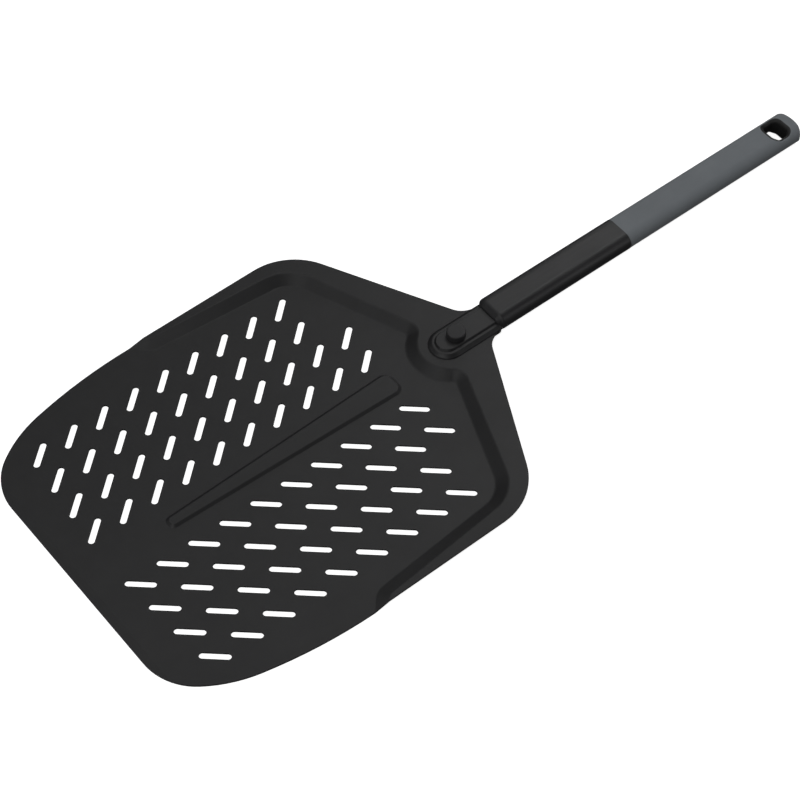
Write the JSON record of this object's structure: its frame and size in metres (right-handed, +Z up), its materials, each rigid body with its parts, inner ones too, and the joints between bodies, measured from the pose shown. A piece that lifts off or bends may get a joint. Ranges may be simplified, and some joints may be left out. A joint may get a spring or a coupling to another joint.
{
  "type": "pizza peel",
  "caption": "Perforated metal pizza peel with a raised rim, centre rib, quick-release neck button and long grip with a hanging hole.",
  "frame": {"origin": "middle of the bounding box's underside, which is the blade's flat underside", "axes": "+X to the right, +Y from the blade's front edge to the end of the grip, +Z up"},
  "size_m": [0.303, 0.7048, 0.0173],
  "materials": {
    "blade_black": "black hard-anodised sheet, satin",
    "casting_black": "black anodised casting, satin",
    "button_black": "black anodised, satin",
    "sleeve_black": "black anodised, satin",
    "grip_grey": "soft-touch matte slate grey",
    "core_black": "moulded matte",
    "eyelet_black": "moulded matte",
    "aluminium": "mill finish",
    "steel": "turned, plain"
  },
  "bodies": {
    "peel": {"blade": "blade_black", "upper_jaw": "casting_black", "lower_jaw": "casting_black", "button_spring": "steel", "nose_plug": "sleeve_black", "tang_screws": "steel", "front_sleeve": "sleeve_black", "grip_core": "core_black", "core_bar": "aluminium", "grip_screws": "steel", "grip_shell": "grip_grey", "hanging_eyelet": "eyelet_black"},
    "button": {"release_button": "button_black", "lock_pin": "steel"}
  },
  "joints": [
    {"name": "button_press", "type": "slide", "parent": "peel", "child": "button", "axis": [0, 0, -1], "range_m": [0, 0.0022], "stiffness_N_per_m": 1500, "springref_m": -0.002, "deforming": ["button_spring"]}
  ]
}
